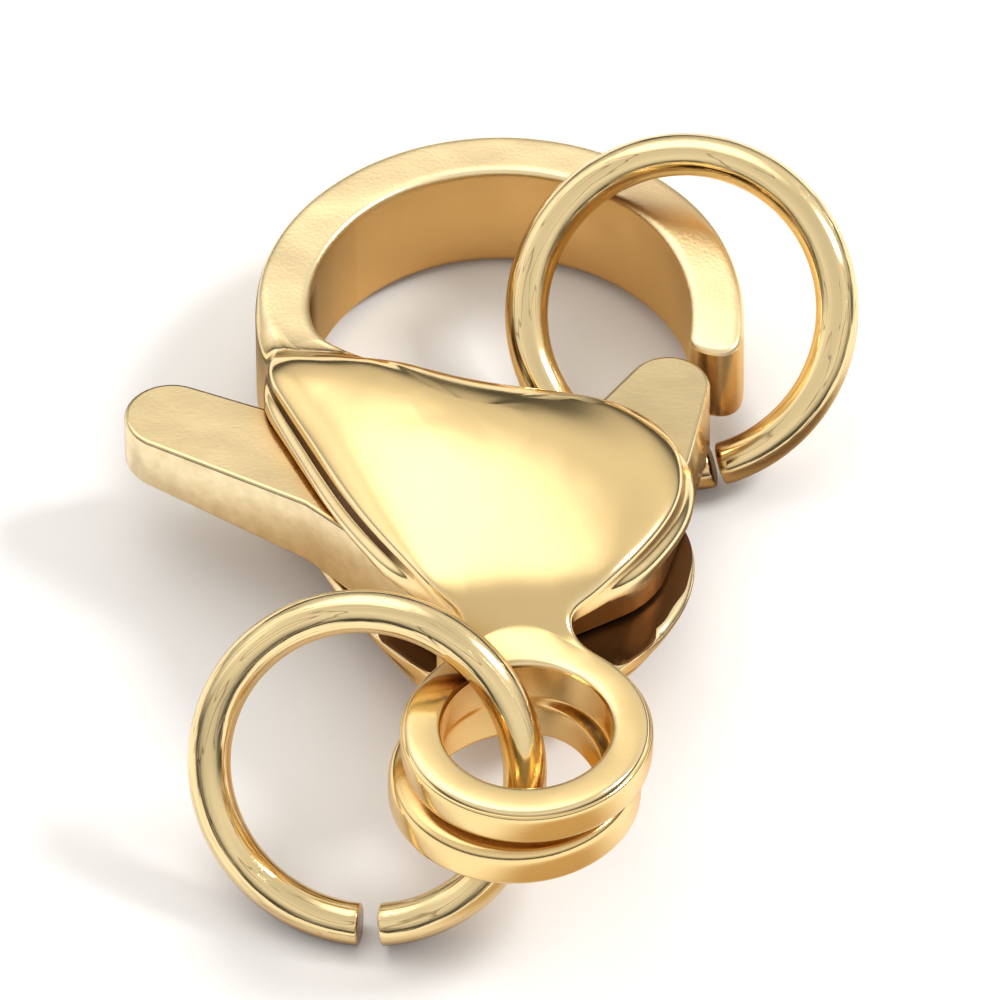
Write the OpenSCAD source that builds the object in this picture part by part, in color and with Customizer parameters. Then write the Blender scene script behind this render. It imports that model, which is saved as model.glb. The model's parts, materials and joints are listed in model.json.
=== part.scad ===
// Lobster clasp with a jump ring in its tail eye and one on its hook, as it lies on a surface.
// The clasp's own axes: X across, with the thumb tab at -X and the gate at +X,
// Y from the tail eye to the hook, and Z through the clasp, with its mid plane at 0.

/* [Hook] */
// Outer radius of the hook's band
hook_outer_r = 3.4; // [3.2:0.05:3.8]
// Width of the band, measured outwards
band_w = 0.75; // [0.6:0.05:0.9]
// Height of the band, through the clasp
band_h = 1.76; // [1.6:0.04:2]
// Height of the hook's tip, where the band has thinned
tip_h = 1.3; // [1.1:0.05:1.5]
// How far the tip reaches round below the hook's centre, in degrees
tip_drop = 16.5; // [12:0.5:20]
// How far the band runs round into the cheeks, in degrees
root_drop = 20; // [16:1:24]
// Distance from the tail eye's centre to the hook's centre
hook_reach = 8; // [7.8:0.1:8.6]

/* [Cheeks] */
// Width of a cheek, from its straight edge to its lobe
cheek_w = 5.62; // [5.3:0.05:5.8]
// Thickness of the body over both domes
body_h = 3.3; // [3.1:0.05:3.6]
// Thickness of the body at the cheeks' rims
rim_h = 2.3; // [2.1:0.05:2.5]
// How far the cheeks stand in from the band's outer wall
cheek_inset = 0.12; // [0.05:0.01:0.2]

/* [Tail eye] */
// Radius of the hole in the tail eye
eye_r = 1.17; // [1.1:0.01:1.25]
// Outer radius of the tail eye
eye_outer_r = 1.7; // [1.6:0.01:1.8]
// Thickness of the tail eye
eye_h = 1.4; // [1.2:0.02:1.5]
// Width and depth of the parting groove round the eye
groove = 0.12; // [0.06:0.01:0.16]

/* [Lever] */
// Thickness of the lever
lever_h = 1.2; // [1:0.05:1.3]
// Play between the lever and each cheek
side_play = 0.05; // [0.03:0.01:0.08]
// Radius of the gate's nose
nose_r = 0.58; // [0.5:0.01:0.62]
// Gap between the gate's nose and the hook's tip
nose_gap = 0.14; // [0.08:0.01:0.2]
// Radius of the lever's boss, round the pin
boss_r = 1.28; // [1.1:0.02:1.4]
// Radius of the thumb tab's end
tab_r = 0.65; // [0.55:0.01:0.7]
// How far the tab's end stands out past the hook
tab_reach = 1.88; // [1.6:0.02:2.2]
// Radius of the pin
pin_r = 0.35; // [0.3:0.01:0.4]
// Length of the pin
pin_l = 2.2; // [2:0.05:2.4]
// Play between the pin and the lever's bore
turn_play = 0.04; // [0.02:0.01:0.06]
// Play between the pin and its blind holes in the cheeks
seat_play = 0.02; // [0.01:0.005:0.03]

/* [Jump rings] */
// Outer radius of a jump ring
ring_outer_r = 2.5; // [2.4:0.05:2.6]
// Radius of its wire
wire_r = 0.3; // [0.25:0.01:0.32]
// Opening at the cut of the tail's ring
tail_cut = 0.3; // [0.1:0.02:0.4]
// Opening at the cut of the hook's ring
hook_cut = 0.12; // [0.06:0.02:0.3]

/* [Hidden] */
gold = [0.86, 0.68, 0.36];

$fn = 96;
over = 0.5;           // what a cutting shape reaches past what it cuts
slot_h = lever_h + 2 * side_play;
ring_r = ring_outer_r - wire_r;

// Main points of the clasp, on its mid plane
hook_at = [0, hook_reach];
hook_inner_r = hook_outer_r - band_w;
cheek_left = -(hook_outer_r - cheek_inset);
cheek_foot = 1.085 * eye_r;
cheek_top = hook_reach - 0.212 * hook_outer_r;
pivot_share = [0.744, 0.52];
peak_share = [0.485, 0.62];

function on_cheek(share) = [
    cheek_left + share.x * cheek_w,
    cheek_foot + share.y * (cheek_top - cheek_foot)
];

pivot_at = on_cheek(pivot_share);
peak_at = on_cheek(peak_share);

// Outline of a cheek, against the clock from the neck's right side.
// Columns: share of the cheek's width, share of its length, what the point is
CHEEK_OUTLINE = [
    [0.780, 0.000, "neck, right foot"],
    [0.712, 0.055, "neck, right fillet"],
    [0.700, 0.100, "neck, right waist"],
    [0.775, 0.145, "under the lobe"],
    [0.890, 0.260, "lobe, lower side"],
    [0.985, 0.405, "lobe, side"],
    [1.007, 0.530, "lobe, widest"],
    [0.978, 0.630, "lobe, shoulder"],
    [0.880, 0.728, "mouth edge, right end"],
    [0.737, 0.775, "mouth edge"],
    [0.560, 0.815, "mouth edge, middle"],
    [0.385, 0.873, "mouth edge"],
    [0.255, 0.948, "mouth edge, left end"],
    [0.185, 1.020, "round inside the hook's root"],
    [0.085, 1.030, "corner at the band"],
    [0.000, 0.965, "corner, outside"],
    [0.012, 0.870, "straight edge, top"],
    [0.075, 0.690, "straight edge"],
    [0.190, 0.445, "straight edge"],
    [0.322, 0.235, "straight edge, low"],
    [0.435, 0.105, "neck, left waist"],
    [0.447, 0.055, "neck, left fillet"],
    [0.388, 0.000, "neck, left foot"],
    [0.584, 0.000, "neck, foot"]
];
CHEEK_STEPS = 3;

function curve_point(a, b, c, d, t) =
    (2 * b + (c - a) * t + (2 * a - 5 * b + 4 * c - d) * t ^ 2 + (3 * b - a - 3 * c + d) * t ^ 3) / 2;

function smooth_loop(points, steps) = let (n = len(points)) [
    for (i = [0:n - 1], k = [0:steps - 1])
        curve_point(points[(i + n - 1) % n], points[i], points[(i + 1) % n], points[(i + 2) % n], k / steps)
];

cheek_loop = smooth_loop([for (row = CHEEK_OUTLINE) on_cheek(row)], CHEEK_STEPS);

// Height of a cheek's outer face: level on the neck, up to the rim, domed inside the rim,
// and down to the band at the corner where the cheek grows out of the hook
DOME_SHARES = [1, 0.95, 0.87, 0.75, 0.6, 0.44, 0.3];
skin = 0.015 * eye_h; // keeps faces that meet from lying in one plane
neck_z = eye_h / 2 + skin;
corner_z = band_h / 2 + skin;
neck_end = 1.35 * eye_outer_r;
swell_end = 1.9 * eye_outer_r;
corner_at = [cheek_left, cheek_top];
corner_reach = 0.45 * hook_outer_r;

function ease(low, high, y) = let (t = min(1, max(0, (y - low) / (high - low)))) t * t * (3 - 2 * t);
function dome_share(s) = (1 - s ^ 2.4) ^ 0.7;
top_share = dome_share(DOME_SHARES[len(DOME_SHARES) - 1]);
function rim_z(p) = neck_z + (rim_h / 2 - neck_z) * ease(cheek_foot, neck_end, p.y);
function dome_z(p, s) = (body_h - rim_h) / 2 * dome_share(s) / top_share * ease(eye_outer_r, swell_end, p.y);
function face_z(p, s) =
    corner_z + (rim_z(p) + dome_z(p, s) - corner_z) * ease(0, corner_reach, norm(p - corner_at));

function dome_ring(s, side) = [
    for (p = cheek_loop) let (q = peak_at + s * (p - peak_at)) [q.x, q.y, side * face_z(q, s)]
];
body_rings = concat(
    [for (i = [len(DOME_SHARES) - 1:-1:0]) dome_ring(DOME_SHARES[i], -1)],
    [for (s = DOME_SHARES) dome_ring(s, 1)]
);
body_points = [for (ring = body_rings) each ring];

// How the clasp lies: on its lower cheek and on the far edge of its hook
far_edge = [0, hook_reach + hook_outer_r, -band_h / 2];
lie_angle = max([for (p = body_points) if (p.z < far_edge.z) atan2(far_edge.z - p.z, far_edge.y - p.y)]);
function laid(p) = [
    p.x,
    p.y * cos(lie_angle) + p.z * sin(lie_angle),
    p.z * cos(lie_angle) - p.y * sin(lie_angle)
];
floor_z = laid(far_edge).z;

// How the jump rings lie: middle across, middle along, rise of the ring's plane,
// its turn seen from above, and where on the ring the cut is
TAIL_RING_LIE = [-1.28 * eye_outer_r, 0.18 * eye_outer_r, 50, -16, -80];
HOOK_RING_LIE = [0.75 * hook_outer_r, hook_reach + 0.094 * hook_outer_r, 34, -23, -60];

// How far a ring reaches from its middle along X, Y and Z
function lean_normal(lie) = [sin(lie[2]) * sin(lie[3]), -sin(lie[2]) * cos(lie[3]), cos(lie[2])];
function ring_reach(lie) = [for (c = lean_normal(lie)) wire_r + ring_r * sqrt(1 - c ^ 2)];

// The gate's nose stands a gap short of the inner corner of the hook's tip
tip_corner = hook_at + hook_inner_r * [cos(tip_drop), -sin(tip_drop)];
nose_heading = 248;
nose_at = tip_corner + (nose_r + nose_gap) * [cos(nose_heading), sin(nose_heading)];

// Discs that the lever's outline is drawn round, as shares of the hook's outer radius
// Columns: across from the pivot, along from the pivot, the disc's radius
SHOULDER = [0.229, 0.294, 0.253];
FOOT = [-0.191, -0.338, 0.162];
STRIP_LOW = [-0.471, -0.376, 0.162];
STRIP_MID = [-0.971, 0.212, 0.218];
tab_at = [-(hook_outer_r - tab_r + tab_reach), pivot_at.y + 0.588 * hook_outer_r];
inner_round = 0.1 * hook_outer_r;
slot_r = hook_outer_r * (norm([STRIP_LOW.x, STRIP_LOW.y]) + STRIP_LOW[2]) + 2 * side_play;

// The origin is on the floor under the middle of all that is built
bevel = 0.04 * band_h;
far_y = laid([0, hook_reach + hook_outer_r, band_h / 2 - bevel]).y;
near_y = laid([0, -eye_outer_r, bevel - eye_h / 2]).y;
left_x = min(tab_at.x - tab_r, TAIL_RING_LIE.x - ring_reach(TAIL_RING_LIE).x);
right_x = HOOK_RING_LIE.x + ring_reach(HOOK_RING_LIE).x;
middle = [(left_x + right_x) / 2, (near_y + far_y) / 2, 0];

module band() {
    w = bevel;
    profile = [
        [hook_inner_r, -band_h / 2 + w], [hook_inner_r + w, -band_h / 2],
        [hook_outer_r - w, -band_h / 2], [hook_outer_r, -band_h / 2 + w],
        [hook_outer_r, band_h / 2 - w], [hook_outer_r - w, band_h / 2],
        [hook_inner_r + w, band_h / 2], [hook_inner_r, band_h / 2 - w]
    ];
    taper_from = hook_reach + 0.45 * hook_outer_r;
    tip_y = hook_reach - hook_outer_r * sin(tip_drop);
    taper = atan((band_h - tip_h) / 2 / (taper_from - tip_y));
    difference() {
        translate([hook_at.x, hook_at.y, 0]) rotate(-tip_drop)
            rotate_extrude(angle = 180 + tip_drop + root_drop) polygon(profile);
        for (side = [0, 1]) mirror([0, 0, side])
            translate([hook_inner_r / 2, taper_from, band_h / 2]) rotate([taper, 0, 0])
                translate([0, -2 * hook_outer_r, 0]) cube([hook_outer_r, 2 * hook_outer_r, over]);
    }
}

module tail_eye() {
    w = bevel;
    rotate_extrude() polygon([
        [eye_r, -eye_h / 2 + w], [eye_r + w, -eye_h / 2], [eye_outer_r - w, -eye_h / 2],
        [eye_outer_r, -eye_h / 2 + w], [eye_outer_r, -groove / 2], [eye_outer_r - groove, 0],
        [eye_outer_r, groove / 2], [eye_outer_r, eye_h / 2 - w], [eye_outer_r - w, eye_h / 2],
        [eye_r + w, eye_h / 2], [eye_r, eye_h / 2 - w]
    ]);
}

// The two cheeks and the neck as one domed block, before the slot is cut
module domed_block() {
    n = len(cheek_loop);
    rings = len(body_rings);
    walls = [
        for (j = [0:rings - 2], i = [0:n - 1]) let (k = (i + 1) % n)
            each [[j * n + i, (j + 1) * n + i, (j + 1) * n + k], [j * n + i, (j + 1) * n + k, j * n + k]]
    ];
    caps = [[for (i = [0:n - 1]) i], [for (i = [n - 1:-1:0]) (rings - 1) * n + i]];
    polyhedron(points = body_points, faces = concat(walls, caps), convexity = 6);
}

// Room for the lever between the cheeks: round the pivot, and open to both sides above the neck
module slot() {
    linear_extrude(height = slot_h, center = true) {
        translate(pivot_at) circle(slot_r);
        translate([-2 * hook_outer_r, neck_end]) square([4 * hook_outer_r, hook_reach]);
    }
}

module frame_casting() {
    difference() {
        union() {
            band();
            tail_eye();
            difference() {
                domed_block();
                slot();
            }
        }
        translate([pivot_at.x, pivot_at.y, 0])
            cylinder(h = pin_l + 2 * seat_play, r = pin_r + seat_play, center = true);
    }
}

module disc(row) {
    translate(pivot_at + hook_outer_r * [row.x, row.y]) circle(row[2] * hook_outer_r);
}

module lever_outline() {
    offset(r = -inner_round) offset(r = inner_round) {
        hull() {
            translate(nose_at) circle(nose_r);
            disc(SHOULDER);
        }
        hull() {
            disc(SHOULDER);
            translate(pivot_at) circle(boss_r);
        }
        hull() {
            translate(pivot_at) circle(boss_r);
            disc(FOOT);
            disc(STRIP_LOW);
        }
        hull() {
            disc(STRIP_LOW);
            disc(STRIP_MID);
        }
        hull() {
            disc(STRIP_MID);
            translate(tab_at) circle(tab_r);
        }
    }
}

module lever_plate() {
    difference() {
        linear_extrude(height = lever_h, center = true) lever_outline($fn = 40);
        translate([pivot_at.x, pivot_at.y, 0])
            cylinder(h = lever_h + over, r = pin_r + turn_play, center = true);
    }
}

// A round wire bent to an open ring that leans on the clasp with its lowest point on the floor
module jump_ring(lie, cut) {
    half = asin(min(1, cut / 2 / ring_r));
    translate([lie.x, lie.y, wire_r + ring_r * sin(lie[2])] - middle) rotate(lie[3]) rotate([lie[2], 0, 0])
        rotate(lie[4] + half) rotate_extrude(angle = 360 - 2 * half) translate([ring_r, 0]) circle(wire_r);
}

// Puts a shape of the clasp's own axes where the clasp lies
module lay() {
    translate([0, 0, -floor_z] - middle) rotate([-lie_angle, 0, 0]) children();
}

module frame() {
    color(gold) lay() frame_casting();
}

module lever() {
    color(gold) lay() lever_plate();
}

module pivot_pin() {
    color(gold) lay() translate([pivot_at.x, pivot_at.y, 0]) cylinder(h = pin_l, r = pin_r, center = true);
}

module tail_jump_ring() {
    color(gold) jump_ring(TAIL_RING_LIE, tail_cut);
}

module hook_jump_ring() {
    color(gold) jump_ring(HOOK_RING_LIE, hook_cut);
}

frame();
lever();
pivot_pin();
tail_jump_ring();
hook_jump_ring();
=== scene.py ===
# %% [markdown]
# # A lobster clasp, from casting to polish
#
# A lobster clasp closes a necklace or a bracelet.
# Its frame is one casting: a hook, two domed cheeks with a slot between them, a neck and a tail eye.
# A lever turns in the slot on a hidden pin. One end of it is the gate that shuts the hook, and the other
# end is the thumb tab.
# An open jump ring hangs in the tail eye, and another one is caught by the hook.
#
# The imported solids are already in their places, so this lesson only dresses them.
# It models smooth versions of the frame, the lever and the rings, and gives all of them polished gold.

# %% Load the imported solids
import json
import math

import bmesh
import bpy
from mathutils import Matrix, Vector


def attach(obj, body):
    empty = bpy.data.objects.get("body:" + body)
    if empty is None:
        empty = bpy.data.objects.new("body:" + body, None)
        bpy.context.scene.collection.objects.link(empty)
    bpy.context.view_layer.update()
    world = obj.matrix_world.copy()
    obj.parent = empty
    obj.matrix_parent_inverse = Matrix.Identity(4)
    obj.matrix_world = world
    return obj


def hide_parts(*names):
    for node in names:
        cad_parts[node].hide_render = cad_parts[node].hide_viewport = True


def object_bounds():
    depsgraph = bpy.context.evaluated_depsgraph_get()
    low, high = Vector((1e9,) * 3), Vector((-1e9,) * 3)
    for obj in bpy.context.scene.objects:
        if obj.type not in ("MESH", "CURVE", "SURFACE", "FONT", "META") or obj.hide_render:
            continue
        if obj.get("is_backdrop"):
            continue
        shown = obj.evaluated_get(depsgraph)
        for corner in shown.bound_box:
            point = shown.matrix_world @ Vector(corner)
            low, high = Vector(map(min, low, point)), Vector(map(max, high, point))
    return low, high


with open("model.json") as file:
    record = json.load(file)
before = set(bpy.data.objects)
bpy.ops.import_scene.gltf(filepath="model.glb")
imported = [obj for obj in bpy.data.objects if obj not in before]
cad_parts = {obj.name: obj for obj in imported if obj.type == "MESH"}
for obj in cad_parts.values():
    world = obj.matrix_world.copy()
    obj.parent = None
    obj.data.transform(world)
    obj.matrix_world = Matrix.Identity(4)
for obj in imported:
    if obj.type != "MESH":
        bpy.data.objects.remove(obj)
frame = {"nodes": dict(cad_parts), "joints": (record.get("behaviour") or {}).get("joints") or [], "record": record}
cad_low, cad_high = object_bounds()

print("pieces:", sorted(frame["nodes"]))
print("box in mm:", [round(1000 * side, 2) for side in cad_high - cad_low])

# %% [markdown]
# ## The clasp's own axes
#
# The clasp lies on one cheek and on the far edge of its hook, so it leans a little.
# It's easier to model it flat and in millimetres: the tail eye at the origin, the hook along +Y, and Z up
# through the cheeks. One matrix then lays every finished mesh where the solids are.
# The pin's axis tells how far the clasp leans, because the pin stands square to the cheeks.

# %% The main sizes, in millimetres
MM = 0.001

HOOK_OUTER_R = 3.4
BAND_W = 0.75
BAND_H = 1.76
TIP_H = 1.3
TIP_DROP = 16.5
HOOK_REACH = 8.0
EYE_R = 1.17
EYE_OUTER_R = 1.7
EYE_H = 1.4
CHEEK_W = 5.62
BODY_H = 3.3
RIM_H = 2.3
SLOT_H = 1.3
WIRE_R = 0.3
RING_R = 2.2

HOOK_INNER_R = HOOK_OUTER_R - BAND_W
CHEEK_LEFT = -3.28
CHEEK_FOOT = 1.085 * EYE_R
CHEEK_TOP = HOOK_REACH - 0.212 * HOOK_OUTER_R
HOOK_AT = Vector((0, HOOK_REACH))


def on_cheek(across, along):
    """A place on the cheek, from its share of the cheek's width and of its length."""
    return Vector((CHEEK_LEFT + across * CHEEK_W, CHEEK_FOOT + along * (CHEEK_TOP - CHEEK_FOOT)))


PIVOT = on_cheek(0.744, 0.52)
PEAK = on_cheek(0.485, 0.62)

hinge = frame["joints"][0]
pin_axis = Vector(hinge["axis"])
lean = math.atan2(pin_axis.y, pin_axis.z)
LAY = (
    Matrix.Translation(hinge["pos_m"])
    @ Matrix.Rotation(-lean, 4, "X")
    @ Matrix.Scale(MM, 4)
    @ Matrix.Translation((-PIVOT.x, -PIVOT.y, 0))
)
print("the clasp leans by", round(math.degrees(lean), 2), "degrees")

# %% [markdown]
# ## Small tools
#
# Most of this model is made by pulling edges: an edge loop is extruded, and each new corner is placed.
# One helper does that, and remembers which new corner came from which old one.
# Others make soft steps, places on a circle, and an even, smooth path through a few chosen points.

# %% Helpers for edges and curves
FINE_STEPS = 24


def ease(low, high, at):
    """A soft step: 0 below low, 1 above high, level at both ends."""
    t = min(1.0, max(0.0, (at - low) / (high - low)))
    return t * t * (3 - 2 * t)


def mix(a, b, t):
    return a + (b - a) * t


def round_at(middle, radius, angle):
    """A place on a circle, at an angle in degrees."""
    return middle + radius * Vector((math.cos(math.radians(angle)), math.sin(math.radians(angle))))


def pull(bm, edges, place):
    """Extrudes edges to place(old corner). Gives the new edges, and a map from old corners to new."""
    old = {v for e in edges for v in e.verts}
    made = bmesh.ops.extrude_edge_only(bm, edges=list(edges))["geom"]
    new = {g for g in made if isinstance(g, bmesh.types.BMVert)}
    rim = [g for g in made if isinstance(g, bmesh.types.BMEdge) and new.issuperset(g.verts)]
    twin = {}
    for v in new:
        source = next(e.other_vert(v) for e in v.link_edges if e.other_vert(v) in old)
        twin[source] = v
    for source, v in twin.items():
        v.co = place(source)
    return rim, twin


def smooth_path(points, count):
    """A curve through the points, cut into count steps of one length."""
    fine = []
    for i in range(len(points) - 1):
        a, b, c, d = (points[min(max(k, 0), len(points) - 1)] for k in (i - 1, i, i + 1, i + 2))
        for k in range(FINE_STEPS):
            t = k / FINE_STEPS
            bend = (2 * a - 5 * b + 4 * c - d) * t**2 + (3 * b - a - 3 * c + d) * t**3
            fine.append((2 * b + (c - a) * t + bend) / 2)
    fine.append(points[-1])
    reach = [0.0]
    for a, b in zip(fine, fine[1:]):
        reach.append(reach[-1] + (b - a).length)
    path = []
    k = 0
    for step in range(count + 1):
        goal = reach[-1] * step / count
        while k < len(fine) - 2 and reach[k + 1] < goal:
            k += 1
        path.append(fine[k].lerp(fine[k + 1], (goal - reach[k]) / (reach[k + 1] - reach[k])))
    return path


def edge_between(a, b):
    return next(e for e in a.link_edges if e.other_vert(a) is b)


def chain_edges(corners):
    return [edge_between(a, b) for a, b in zip(corners, corners[1:])]


def finish_mesh(bm, name, body, replaced, place=LAY):
    """Lays a finished bmesh in the scene, as a smooth piece that rides on a body and replaces a solid."""
    bm.transform(place)
    bmesh.ops.recalc_face_normals(bm, faces=bm.faces)
    mesh = bpy.data.meshes.new(name)
    bm.to_mesh(mesh)
    bm.free()
    mesh.shade_smooth()
    piece = bpy.data.objects.new(name, mesh)
    bpy.context.scene.collection.objects.link(piece)
    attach(piece, body)
    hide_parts(replaced)
    print(name, "has", len(mesh.polygons), "faces")
    return piece

# %% [markdown]
# ## The frame, seen from above
#
# The casting is the same above and below its middle plane. So only the upper half is modelled, first as
# a map seen from above: a ring for the tail eye, a neck, the wide cheek, and a curved strip for the band.
# The map's rim is then pulled down to make the walls, and the half is mirrored.
# A cage of even, mostly four sided faces is subdivided at the end. That gives the long soft reflections
# of a polished casting, which a cut and welded solid never has.
#
# The rim of the cheek is one smooth path on each side. The points are shares of its width and length.

# %% Paths round the cheek
RIGHT_OUTLINE = [  # across, along: from the neck round the lobe and along the mouth to the hook's root
    (0.708, 0.112),
    (0.775, 0.150),
    (0.890, 0.260),
    (0.985, 0.405),
    (1.007, 0.530),
    (0.978, 0.635),
    (0.880, 0.728),
    (0.737, 0.775),
    (0.560, 0.815),
    (0.385, 0.873),
    (0.240, 0.967),
    (0.142, 1.034),
]
LEFT_OUTLINE = [  # across, along: from the hook's root down the straight side to the neck
    (0.034, 0.995),
    (0.008, 0.950),
    (-0.002, 0.880),
    (0.012, 0.835),
    (0.075, 0.690),
    (0.190, 0.445),
    (0.322, 0.235),
    (0.395, 0.145),
    (0.438, 0.110),
]
RIGHT_STEPS = 28
ROOT_STEPS = 4
LEFT_STEPS = 20
CHAIN_STEPS = 12

right_path = smooth_path([on_cheek(*row) for row in RIGHT_OUTLINE], RIGHT_STEPS)
left_path = smooth_path([on_cheek(*row) for row in LEFT_OUTLINE], LEFT_STEPS)
root_path = [right_path[-1].lerp(left_path[0], k / ROOT_STEPS) for k in range(1, ROOT_STEPS)]
neck_line = [left_path[-1].lerp(right_path[0], k / CHAIN_STEPS) for k in range(1, CHAIN_STEPS)]
outline = right_path + root_path + left_path + neck_line
print("corners round the cheek:", len(outline))

# %% [markdown]
# The cheek swells like a pillow. A share of 1 is the rim and a share of 0 the peak, and all the rings
# between are copies of the rim, drawn smaller round the peak.
# The height follows from a place's share. Far from the rim that share is measured to a softer outline,
# with its corners worn round, because every corner of the true one would draw a ridge in the reflections.
# The dome is held down in two places: at the neck, where the casting thins to the eye, and along the
# line where the cheek grows out of the hook's band.

# %% Height of the top surface
DOME_POWER = 2.4
DOME_ROUND = 0.7
NECK_RISE = (1.42, 2.6)
SWELL_RISE = (1.42, 5.0)
ROOT_LINE_AT = Vector((-3.1, 7.3))
ROOT_LINE_DOWN = Vector((-0.2, -0.98))
ROOT_BLEND = (-0.05, 0.62)
CLIMB_START = 0.2
OUTLINE_SOFTENING = 40
SOFT_UP_TO = 0.45
NEARLY = 1e-6

soft_outline = list(outline)
for _ in range(OUTLINE_SOFTENING):
    before, after = soft_outline[-1:] + soft_outline[:-1], soft_outline[1:] + soft_outline[:1]
    soft_outline = [(a + 2 * b + c) / 4 for a, b, c in zip(before, soft_outline, after)]


def climb(low, high, at):
    """A rise that starts softly and then bends over like an arch."""
    t = min(1.0, max(0.0, (at - low) / (high - low)))
    soft = t * t * (1 + CLIMB_START) / (t + CLIMB_START)
    return soft * (2 - soft)


def top_height(p, share):
    low = mix(EYE_H / 2, RIM_H / 2, climb(*NECK_RISE, p.y))
    swell = (1 - min(1.0, share) ** DOME_POWER) ** DOME_ROUND * climb(*SWELL_RISE, p.y)
    full = low + (BODY_H - RIM_H) / 2 * swell
    root = ease(*ROOT_BLEND, (p - ROOT_LINE_AT).dot(ROOT_LINE_DOWN))
    return mix(BAND_H / 2, full, root) if p.y > HOOK_REACH / 2 else full


def share_of(p, path):
    """How far out a place is on the way from the peak to a closed path."""
    away = p - PEAK
    if away.length < NEARLY:
        return 0.0
    for a, b in zip(path, path[1:] + path[:1]):
        side = b - a
        across = away.x * side.y - away.y * side.x
        if abs(across) < NEARLY:
            continue
        start = a - PEAK
        far = (start.x * side.y - start.y * side.x) / across
        on_side = (start.x * away.y - start.y * away.x) / across
        if far > 0 and -NEARLY <= on_side <= 1 + NEARLY:
            return 1 / far
    return 1.0


def dome_share(p):
    """The share that shapes the dome: the softer outline's inside, the true outline's near the rim."""
    share = share_of(p, outline)
    return mix(min(1.0, share_of(p, soft_outline)), share, ease(SOFT_UP_TO, 1.0, share))


def cheek_point(p, share):
    return Vector((p.x, p.y, top_height(p, share)))

# %% [markdown]
# The cheek starts as a circle whose corners are moved onto the innermost ring. A grid fills it, so no
# corner is shared by many narrow faces, and further rings are pulled outwards to the rim.
#
# The cage also carries what the gold needs to know later: where the matt cast skin is, which is also
# painted paler as a painted sheen (cast_skin_and_sheen), where painted shade darkens the slot, the groove at its
# mouth and the pocket at the hook's root (painted_shade, on the faces that are shaded), and which edges are worn
# bright, which is also a painted highlight (wear_and_highlight).

# %% The cheek
RING_SHARES = [0.3, 0.46, 0.62, 0.76, 0.88, 1.0]
LAST_RING_IN = 0.24
GRID_SHIFT = 4

cage = bmesh.new()
crease = cage.edges.layers.float.new("crease_edge")
cast_skin_and_sheen = cage.verts.layers.float.new("cast_skin_and_sheen")
painted_shade = cage.verts.layers.float.new("painted_shade")
wear_and_highlight = cage.verts.layers.float.new("wear_and_highlight")
shaded = cage.faces.layers.float.new("shaded")
ring = bmesh.ops.create_circle(cage, segments=len(outline), radius=1)["verts"]
# The circle has to run the same way round as the outline.
if (ring[1].co - ring[0].co).cross(Vector((0, 0, 1))).dot(ring[0].co) < 0:
    ring.reverse()
place_on_rim = dict(zip(ring, outline))
for v, p in place_on_rim.items():
    at = PEAK.lerp(p, RING_SHARES[0])
    v.co = cheek_point(at, RING_SHARES[0])
side = len(outline) // 4
first_ring = chain_edges(ring + ring[:1])
ring = ring[GRID_SHIFT:] + ring[:GRID_SHIFT]
facing = chain_edges(ring[: side + 1]) + chain_edges(ring[2 * side : 3 * side + 1])
bmesh.ops.grid_fill(cage, edges=facing)
edges = first_ring
for share in RING_SHARES[1:]:
    def ring_place(v):
        reach = (place_on_rim[v] - PEAK).length
        inside = LAST_RING_IN / reach * (1 - share) / (1 - RING_SHARES[-2])
        own = min(share, 1 - inside)
        return cheek_point(PEAK.lerp(place_on_rim[v], own), own)

    edges, twin = pull(cage, edges, ring_place)
    place_on_rim = {new: place_on_rim[old] for old, new in twin.items()}
by_place = {tuple(p): v for v, p in place_on_rim.items()}
for v in cage.verts:
    if v not in place_on_rim:
        v.co.z = top_height(v.co.xy, dome_share(v.co.xy))
rim = [by_place[tuple(p)] for p in outline]
right_rim = rim[: RIGHT_STEPS + 1]
root_rim = rim[RIGHT_STEPS : RIGHT_STEPS + ROOT_STEPS + 1]
left_rim = rim[RIGHT_STEPS + ROOT_STEPS : RIGHT_STEPS + ROOT_STEPS + LEFT_STEPS + 1]
neck_rim = rim[RIGHT_STEPS + ROOT_STEPS + LEFT_STEPS :] + rim[:1]
print("the cheek has", len(cage.faces), "faces")

# %% [markdown]
# ## The tail eye and the neck
#
# The eye is a ring, pulled out of a circle. A quarter of its outer edge is pulled on towards the cheek
# in a few rows, each one narrower, which draws the two hollow fillets of the neck. The last row lands on
# the cheek's own corners and is welded to them.

# %% The eye and the neck
EYE_STEPS = 48
EYE_TUCK = 0.08
NECK_ROWS = [  # left end, right end, how far the middle bulges to the cheek
    (Vector((-0.955, 1.440)), Vector((0.880, 1.455)), 0.35),
    (Vector((-0.815, 1.665)), Vector((0.705, 1.690)), 0.19),
]

bore = bmesh.ops.create_circle(cage, segments=EYE_STEPS, radius=EYE_R)["verts"]
for v in bore:
    v.co.z = EYE_H / 2
bore_edges = chain_edges(bore + bore[:1])


def eye_side(v):
    p = v.co.xy.normalized() * EYE_OUTER_R
    return cheek_point(p, 1.0)


_, eye_twin = pull(cage, bore_edges, eye_side)
eye_corners = sorted(eye_twin.values(), key=lambda v: math.atan2(-v.co.x, v.co.y))
neck_turn = (CHAIN_STEPS // 2 + 0.5) * 2 * math.pi / EYE_STEPS
neck_corners = [v for v in eye_corners if abs(math.atan2(-v.co.x, v.co.y)) < neck_turn]
neck_corners.sort(key=lambda v: v.co.x)
row = neck_corners
neck_sides = [[row[0]], [row[-1]]]
for left, right, bulge in NECK_ROWS:
    share_across = {v: k / CHAIN_STEPS for k, v in enumerate(row)}

    def neck_place(v):
        t = share_across[v]
        p = left.lerp(right, t) + Vector((0, bulge * math.sin(math.pi * t) ** 2))
        return cheek_point(p, 1.0)

    _, twin = pull(cage, chain_edges(row), neck_place)
    row = [twin[v] for v in row]
    neck_sides[0].append(row[0])
    neck_sides[1].append(row[-1])
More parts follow.
